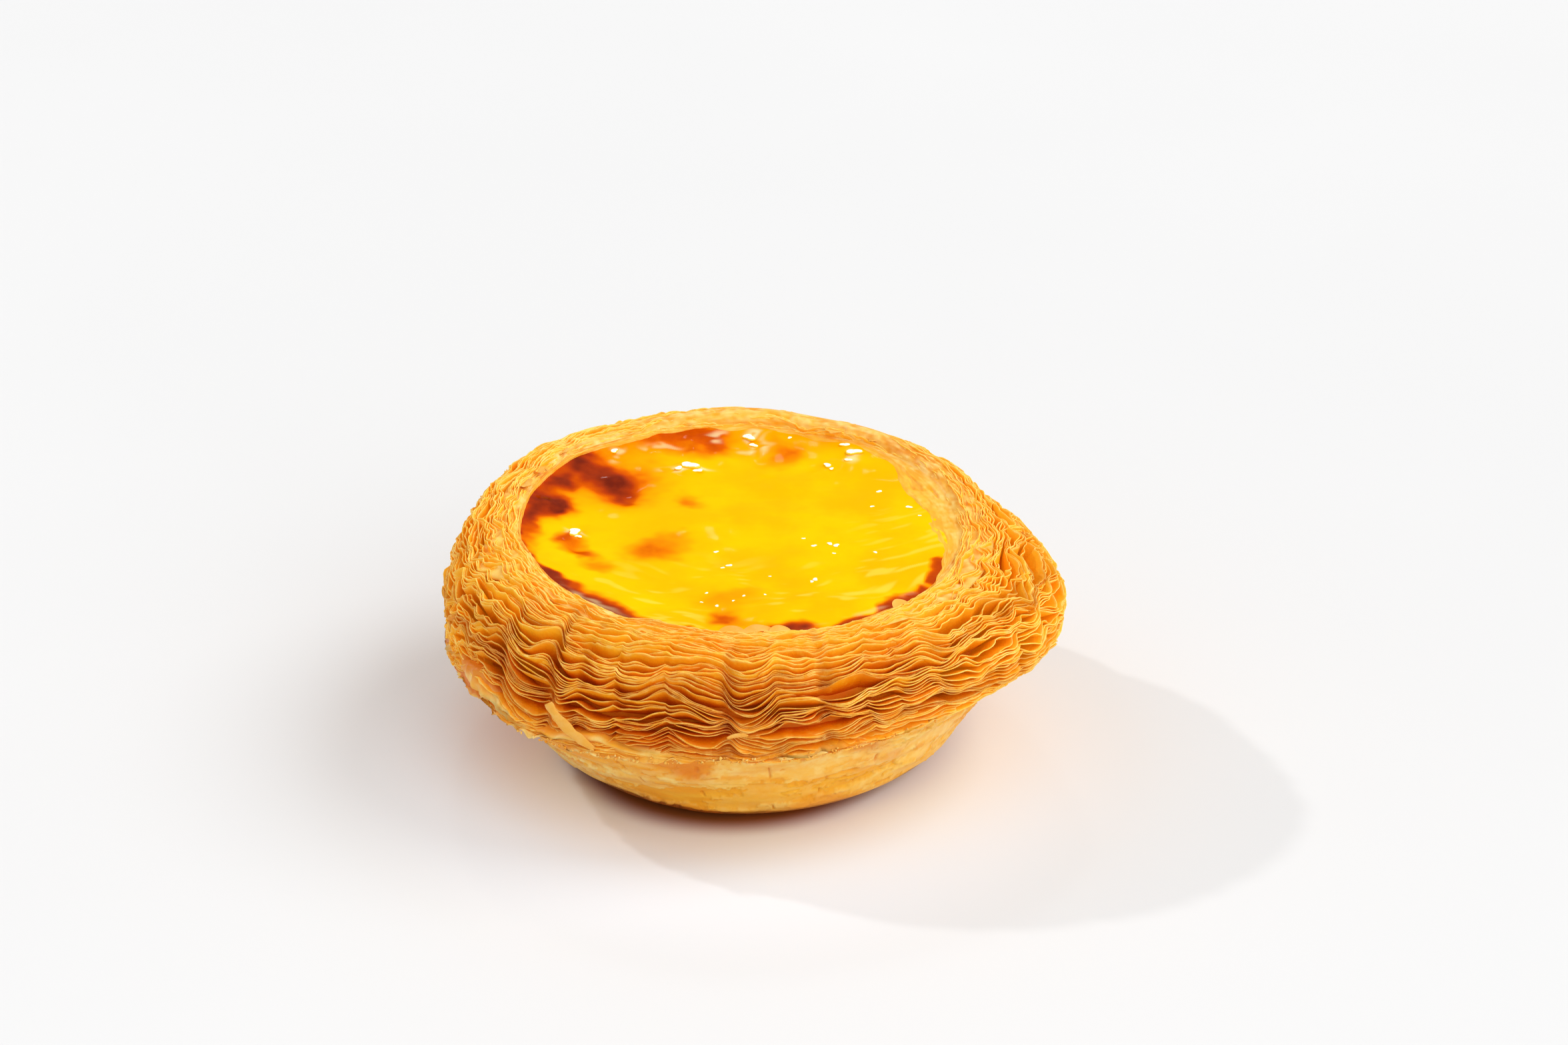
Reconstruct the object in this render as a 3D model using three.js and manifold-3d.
// Egg custard tart: a case of flaky puff pastry, open at the top, filled with baked custard.
// Millimetres, +Z up. The origin is on the table, under the middle of the tart's outline.
// Azimuth 0 points along +X; 270 degrees is the side that faces the viewer.
import * as THREE from 'three';
import { mergeVertices } from 'three/addons/utils/BufferGeometryUtils.js';
import Module from 'manifold-3d';

const wasm = await Module();
wasm.setup();

// Resolution of the swept surfaces
const CASE_STEPS = 136;
const CUSTARD_STEPS = 60;
const LAYER_COUNT = 13;

// The middle of the whole outline, measured from the axis of the mouth
const OUTLINE_MIDDLE_X = 1.8;
const OUTLINE_MIDDLE_Y = 0;

// The foot: a cone with a rounded edge, which leans to the low side at azimuth 180
const FOOT_RADIUS = 25.9;
const FOOT_CENTRE_X = 2.2;
const FOOT_CENTRE_Y = -1.6;
const FOOT_EDGE_HEIGHT = 0.5;
const LEAN_RISE = 1.8;
const DOME_DEPTH = 2.0;
const FOOT_ROUNDING = 0.9;
const FOOT_SHARES = [0.5, 0.96];

// The smooth cone above the foot, which is a little craggy near the table
const CONE_SHARES = [0.35, 0.7, 1];
const CONE_CRAG = 0.3;

// The lip, where the layered band starts and overhangs the cone
const LIP_RADIUS = 37.7;
const LIP_HEIGHT = 14.0;
const LIP_OVERHANG = 2.2;
const LIP_CORNER_AZIMUTH = 227;
const LIP_CORNER_SPREAD = 40;
const LIP_CORNER_REACH = 1.1;
const LIP_LEAN_SHARE = 0.9;
const LIP_HEIGHT_WAVE = 0.35;

// The bulge, the widest line of the layered band
const BULGE_RADIUS = 36.7;
const BULGE_HEIGHT = 20.1;
const BULGE_LEVEL = 0.4;
const BULGE_RADIUS_WAVE = 0.3;
const BULGE_HEIGHT_WAVE = 0.4;

// Where the outline is drawn out or flattened: azimuth, spread in degrees, and reach
const OUTLINE_HUMPS = [
  { azimuth: 340, spread: 50, reach: 5.7 },
  { azimuth: 200, spread: 63, reach: 1.5 },
  { azimuth: 54, spread: 32, reach: -1.7 },
];
const LIP_SHARE_OF_HUMPS = 0.12;

// The crest, the top line of the case, which is highest at one side, and the mouth inside it
const CREST_RADIUS = 29.8;
const CREST_HEIGHT = 28.5;
const CREST_HIGH_AZIMUTH = 140;
const CREST_HIGH_RISE = 1.2;
const CREST_RADIUS_WAVE = 0.3;
const CREST_HEIGHT_WAVE = 0.35;
const CREST_WIDTH = 1.7;
const CREST_TOP_SHARE = 0.55;
const CREST_TOP_RISE = 0.1;
const MOUTH_DROP = 1.1;

// The hollow that the custard fills
const FLOOR_RADIUS = 20.0;
const FLOOR_HEIGHT = 4.6;
const FLOOR_SAG = 0.4;
const HOLLOW_CURVE = 0.8;
const HOLLOW_SHARES = [0.7, 0.35, 0];

// The custard's top: a shallow dish with a raised edge
const CUSTARD_DISH = 26.3;
const CUSTARD_EDGE_DROP = 0.3;
const CUSTARD_CLIMB = 7;
const CUSTARD_GAP = 0.3;
const CUSTARD_SIDE_GAP = 0.39;
const CUSTARD_WALL_SHARES = [0.1, 0.4, 0.7, 1];
const CUSTARD_TOP_SHARES = [0.95, 0.88, 0.78, 0.66, 0.54, 0.42, 0.28, 0.14, 0];

// Relief of the layered band
const LAYER_DEPTH = 0.65;
const LAYER_DEPTH_SPREAD = 0.35;
const LAYER_LEVEL_WAVE = 0.012;

// Folds: places where the layers are pinched in and dip, by azimuth, spread in degrees, and depth
const FOLDS = [
  { azimuth: 228, spread: 9, pinch: 1.1, dip: 0.1 },
  { azimuth: 267, spread: 8, pinch: 0.9, dip: 0.08 },
  { azimuth: 288, spread: 7, pinch: 0.8, dip: 0.08 },
  { azimuth: 312, spread: 8, pinch: 0.6, dip: 0.06 },
  { azimuth: 205, spread: 9, pinch: 0.7, dip: -0.05 },
  { azimuth: 20, spread: 9, pinch: 0.9, dip: 0.07 },
  { azimuth: 62, spread: 10, pinch: 0.7, dip: 0.08 },
  { azimuth: 108, spread: 9, pinch: 0.9, dip: -0.06 },
  { azimuth: 150, spread: 10, pinch: 0.8, dip: 0.07 },
];

// Pockets: places where two layers have parted, by azimuth and level (0 lip, 1 crest)
const POCKETS = [
  { azimuth: 206, level: 0.27, spread: 13, height: 0.07, depth: 1.6 },
  { azimuth: 223, level: 0.2, spread: 9, height: 0.06, depth: 1.4 },
  { azimuth: 246, level: 0.22, spread: 10, height: 0.06, depth: 1.3 },
  { azimuth: 262, level: 0.3, spread: 7, height: 0.07, depth: 1.5 },
  { azimuth: 283, level: 0.33, spread: 8, height: 0.06, depth: 1.3 },
  { azimuth: 296, level: 0.42, spread: 8, height: 0.06, depth: 1.4 },
  { azimuth: 332, level: 0.45, spread: 12, height: 0.08, depth: 1.4 },
  { azimuth: 2, level: 0.55, spread: 10, height: 0.08, depth: 1.3 },
  { azimuth: 48, level: 0.35, spread: 12, height: 0.06, depth: 1.4 },
  { azimuth: 88, level: 0.5, spread: 11, height: 0.07, depth: 1.3 },
  { azimuth: 133, level: 0.3, spread: 12, height: 0.07, depth: 1.5 },
  { azimuth: 168, level: 0.48, spread: 10, height: 0.06, depth: 1.3 },
];

// Blisters of the custard's skin: place, radius, and height above the dish
const BLISTERS = [
  { x: -16.6, y: 8.6, radius: 5.2, height: -0.45 },
  { x: -23.2, y: 5.2, radius: 3.6, height: 0.5 },
  { x: -21.2, y: -4.4, radius: 3.2, height: -0.35 },
  { x: -10.6, y: -7.2, radius: 4.4, height: 0.25 },
  { x: -7.2, y: 16.2, radius: 4.0, height: 0.4 },
  { x: 13.2, y: 17.2, radius: 4.6, height: 0.35 },
  { x: 8.0, y: -4.0, radius: 9.0, height: 0.2 },
];

// The loose sliver of pastry at the lip, from its free tip to its root
const SLIVER_POINTS = [
  new THREE.Vector3(-24.9, -31.0, 18.6),
  new THREE.Vector3(-23.5, -31.7, 16.2),
  new THREE.Vector3(-19.4, -33.2, 13.9),
];
const SLIVER_WIDTH = 1.6;
const SLIVER_THICKNESS = 0.8;
const SLIVER_STEPS = 6;
const SLIVER_CORNERS = 3;

const radians = THREE.MathUtils.degToRad;
const { lerp, clamp, euclideanModulo } = THREE.MathUtils;

// The signed angle from one azimuth to another, in degrees, the short way round
function turnBetween(azimuth, centre) {
  return euclideanModulo(azimuth - centre + 180, 360) - 180;
}

// A smooth hump of height 1 at the centre that reaches 0 at the spread on either side
function hump(distance, spread) {
  const share = Math.min(Math.abs(distance) / spread, 1);
  return 0.5 + 0.5 * Math.cos(Math.PI * share);
}

// A gentle waviness between -1 and 1 round the tart, different for each seed
function waver(azimuth, seed) {
  const angle = radians(azimuth);
  const slow = Math.sin(3 * angle + 1.7 * seed);
  const middle = Math.sin(7 * angle + 2.9 * seed + 0.8);
  const quick = Math.sin(13 * angle + 4.3 * seed + 2.1);
  return (slow + middle + 0.8 * quick) / 2.8;
}

// The height that the lean gives to a point at a share of the foot's radius
function leanHeight(azimuth, share) {
  return LEAN_RISE * share * Math.cos(radians(azimuth));
}

// The sum over a list of places of one named amount, each fading out over its spread of azimuth
function sumOfHumps(places, amount, azimuth) {
  const share = (place) => hump(turnBetween(azimuth, place.azimuth), place.spread);
  return places.reduce((sum, place) => sum + place[amount] * share(place), 0);
}

// How far the outline is drawn out or in
function outlineReach(azimuth) {
  return sumOfHumps(OUTLINE_HUMPS, 'reach', azimuth);
}

// How far a pocket draws the band in at a level
function pocketDepth(azimuth, level) {
  const near = POCKETS.map((pocket) => {
    return { ...pocket, deep: pocket.depth * hump(level - pocket.level, pocket.height) };
  });
  return sumOfHumps(near, 'deep', azimuth);
}

// The three lines that carry the band, each a radius and a height at an azimuth
function lipLine(azimuth) {
  const corner = LIP_CORNER_REACH * hump(turnBetween(azimuth, LIP_CORNER_AZIMUTH), LIP_CORNER_SPREAD);
  const r = LIP_RADIUS + LIP_SHARE_OF_HUMPS * outlineReach(azimuth) + corner;
  const z = LIP_HEIGHT + leanHeight(azimuth, LIP_LEAN_SHARE) + LIP_HEIGHT_WAVE * waver(azimuth, 2);
  return { r, z };
}

function bulgeLine(azimuth) {
  const r = BULGE_RADIUS + outlineReach(azimuth) + BULGE_RADIUS_WAVE * waver(azimuth, 5);
  const z = BULGE_HEIGHT + BULGE_HEIGHT_WAVE * waver(azimuth, 9);
  return { r, z };
}

function crestLine(azimuth) {
  const r = CREST_RADIUS + CREST_RADIUS_WAVE * waver(azimuth, 3);
  const rise = CREST_HIGH_RISE * Math.cos(radians(azimuth - CREST_HIGH_AZIMUTH));
  const z = CREST_HEIGHT + rise + CREST_HEIGHT_WAVE * waver(azimuth, 7);
  return { r, z };
}

// A point of the bare band: quarter ellipses from lip to bulge and from bulge to crest
function bandPoint(azimuth, level) {
  const lip = lipLine(azimuth);
  const bulge = bulgeLine(azimuth);
  const crest = crestLine(azimuth);
  if (level < BULGE_LEVEL) {
    const turn = (level / BULGE_LEVEL) * Math.PI / 2;
    const r = lip.r + (bulge.r - lip.r) * Math.sin(turn);
    const z = bulge.z - (bulge.z - lip.z) * Math.cos(turn);
    return { r, z };
  }
  const turn = ((level - BULGE_LEVEL) / (1 - BULGE_LEVEL)) * Math.PI / 2;
  const r = bulge.r - (bulge.r - crest.r) * (1 - Math.cos(turn));
  const z = bulge.z + (crest.z - bulge.z) * Math.sin(turn);
  return { r, z };
}

// The band with its layers: each layer stands out as a ridge, which dips with the folds
function layeredBand(azimuth) {
  const rows = 2 * LAYER_COUNT;
  const points = [];
  for (let row = 0; row <= rows; row++) {
    const evenLevel = row / rows;
    const middle = Math.sin(Math.PI * evenLevel);
    const wave = LAYER_LEVEL_WAVE * waver(azimuth, row);
    const level = evenLevel + (wave - sumOfHumps(FOLDS, 'dip', azimuth)) * middle;
    const point = bandPoint(azimuth, clamp(level, 0, 1));
    const layerDepth = LAYER_DEPTH + LAYER_DEPTH_SPREAD * waver(azimuth, 11 + row);
    const groove = row % 2 === 1 ? layerDepth : 0;
    const pinch = sumOfHumps(FOLDS, 'pinch', azimuth);
    const inward = groove + (pinch + pocketDepth(azimuth, evenLevel)) * middle;
    points.push({ r: point.r - inward, z: point.z });
  }
  return points;
}

// The underside of the case: a shallow dome, pressed flat where it meets the table
function footPoint(azimuth, share) {
  const dome = DOME_DEPTH * (share * share - 1);
  const z = FOOT_EDGE_HEIGHT + leanHeight(azimuth, share) + dome;
  return { r: FOOT_RADIUS * share, z: Math.max(z, 0), shift: 1 };
}

// The radius of the hollow at a height, from its floor up to the mouth
function hollowRadius(azimuth, z) {
  const crest = crestLine(azimuth);
  const mouthZ = crest.z - MOUTH_DROP;
  const share = (z - FLOOR_HEIGHT) / (mouthZ - FLOOR_HEIGHT);
  return lerp(FLOOR_RADIUS, crest.r - CREST_WIDTH, share ** HOLLOW_CURVE);
}

// One side of the case, from the middle of its underside, up outside, and down inside
function caseProfile(azimuth) {
  const lip = lipLine(azimuth);
  const crest = crestLine(azimuth);
  const profile = [footPoint(azimuth, 0)];
  for (const share of FOOT_SHARES) profile.push(footPoint(azimuth, share));
  const edge = footPoint(azimuth, 1);
  edge.z += FOOT_ROUNDING;
  profile.push(edge);
  const coneTop = { r: lip.r - LIP_OVERHANG, z: lip.z - 0.2 };
  for (const share of CONE_SHARES) {
    const crag = CONE_CRAG * waver(azimuth, 20 + 3 * share) * (1 - share);
    const r = lerp(edge.r, coneTop.r, share) + crag;
    const z = lerp(edge.z, coneTop.z, share);
    profile.push({ r, z, shift: 1 - share });
  }
  profile.push(...layeredBand(azimuth));
  const mouth = { r: crest.r - CREST_WIDTH, z: crest.z - MOUTH_DROP };
  profile.push({ r: crest.r - CREST_TOP_SHARE * CREST_WIDTH, z: crest.z + CREST_TOP_RISE });
  profile.push(mouth);
  for (const share of HOLLOW_SHARES) {
    const z = lerp(FLOOR_HEIGHT, mouth.z, share);
    profile.push({ r: hollowRadius(azimuth, z), z });
  }
  profile.push({ r: 0, z: FLOOR_HEIGHT - FLOOR_SAG });
  return profile;
}

// The height of the custard's top at a share of its radius
function custardTop(azimuth, radius, edgeRadius, edgeZ) {
  const x = radius * Math.cos(radians(azimuth));
  const y = radius * Math.sin(radians(azimuth));
  const share = radius / edgeRadius;
  const edgeShare = share ** CUSTARD_CLIMB;
  const blisters = BLISTERS.reduce((sum, blister) => {
    const distance = Math.hypot(x - blister.x, y - blister.y);
    return sum + blister.height * hump(distance, blister.radius);
  }, 0);
  return lerp(CUSTARD_DISH, edgeZ, edgeShare) + blisters * (1 - edgeShare);
}

// One side of the custard, from the middle of its underside, up the wall, and in over its top
function custardProfile(azimuth) {
  const crest = crestLine(azimuth);
  const edgeZ = crest.z - MOUTH_DROP - CUSTARD_EDGE_DROP;
  const bottomZ = FLOOR_HEIGHT + CUSTARD_GAP;
  const profile = [{ r: 0, z: bottomZ }, { r: FLOOR_RADIUS - 1, z: bottomZ }];
  for (const share of CUSTARD_WALL_SHARES) {
    const z = lerp(FLOOR_HEIGHT, edgeZ, share);
    profile.push({ r: hollowRadius(azimuth, z) - CUSTARD_SIDE_GAP, z });
  }
  const edgeRadius = hollowRadius(azimuth, edgeZ) - CUSTARD_SIDE_GAP;
  for (const share of CUSTARD_TOP_SHARES) {
    const r = edgeRadius * share;
    profile.push({ r, z: custardTop(azimuth, r, edgeRadius, edgeZ) });
  }
  return profile;
}

// A closed surface swept once round the axis from a profile that starts and ends on the axis
function sweepRound(profileAt, steps) {
  const rings = profileAt(0).length;
  const positions = [];
  const pushPoint = (azimuth, point) => {
    const angle = radians(azimuth);
    const shift = point.shift ?? 0;
    const x = point.r * Math.cos(angle) + FOOT_CENTRE_X * shift - OUTLINE_MIDDLE_X;
    const y = point.r * Math.sin(angle) + FOOT_CENTRE_Y * shift - OUTLINE_MIDDLE_Y;
    positions.push(x, y, point.z);
  };
  pushPoint(0, profileAt(0)[0]);
  for (let step = 0; step < steps; step++) {
    const azimuth = (360 * step) / steps;
    const profile = profileAt(azimuth);
    for (let ring = 1; ring < rings - 1; ring++) pushPoint(azimuth, profile[ring]);
  }
  pushPoint(0, profileAt(0)[rings - 1]);

  const ringsBetween = rings - 2;
  const last = positions.length / 3 - 1;
  const at = (step, ring) => 1 + (step % steps) * ringsBetween + ring;
  const faces = [];
  for (let step = 0; step < steps; step++) {
    faces.push(0, at(step + 1, 0), at(step, 0));
    for (let ring = 0; ring < ringsBetween - 1; ring++) {
      const a = at(step, ring);
      const b = at(step + 1, ring);
      const c = at(step + 1, ring + 1);
      const d = at(step, ring + 1);
      faces.push(a, b, c, a, c, d);
    }
    faces.push(last, at(step, ringsBetween - 1), at(step + 1, ringsBetween - 1));
  }
  const geometry = new THREE.BufferGeometry();
  geometry.setAttribute('position', new THREE.Float32BufferAttribute(positions, 3));
  geometry.setIndex(faces);
  return geometry;
}

// The sliver: a flat lens section carried along its curve
function sliverGeometry() {
  const lens = new THREE.Shape();
  lens.absellipse(0, 0, SLIVER_THICKNESS / 2, SLIVER_WIDTH / 2, 0, Math.PI * 2);
  const extrudePath = new THREE.CatmullRomCurve3(SLIVER_POINTS);
  const options = { extrudePath, steps: SLIVER_STEPS, curveSegments: SLIVER_CORNERS };
  return new THREE.ExtrudeGeometry(lens, { ...options, bevelEnabled: false });
}

// A closed solid from a surface, with its doubled points merged
function toSolid(geometry) {
  const bare = geometry.clone();
  bare.deleteAttribute('normal');
  bare.deleteAttribute('uv');
  const merged = mergeVertices(bare, 1e-4);
  const vertProperties = new Float32Array(merged.attributes.position.array);
  const triVerts = new Uint32Array(merged.index.array);
  return new wasm.Manifold(new wasm.Mesh({ numProp: 3, vertProperties, triVerts }));
}

// The surface of a solid
function toGeometry(solid) {
  const mesh = solid.getMesh();
  const geometry = new THREE.BufferGeometry();
  geometry.setAttribute('position', new THREE.BufferAttribute(mesh.vertProperties, 3));
  geometry.setIndex(new THREE.BufferAttribute(mesh.triVerts, 1));
  return geometry;
}

// The case with its sliver, as one solid
function pastryCase() {
  const body = toSolid(sweepRound(caseProfile, CASE_STEPS));
  const geometry = toGeometry(body.add(toSolid(sliverGeometry())));
  geometry.computeVertexNormals();
  const material = new THREE.MeshStandardMaterial({ color: 0xe39a3b, roughness: 0.62, metalness: 0 });
  const mesh = new THREE.Mesh(geometry, material);
  mesh.name = 'pastry_case';
  return mesh;
}

// The custard that fills the case
function custardFilling() {
  const geometry = sweepRound(custardProfile, CUSTARD_STEPS);
  geometry.computeVertexNormals();
  const material = new THREE.MeshStandardMaterial({ color: 0xfcc205, roughness: 0.18, metalness: 0 });
  const mesh = new THREE.Mesh(geometry, material);
  mesh.name = 'custard_filling';
  return mesh;
}

const tart = new THREE.Group();
tart.add(pastryCase(), custardFilling());

export default tart;
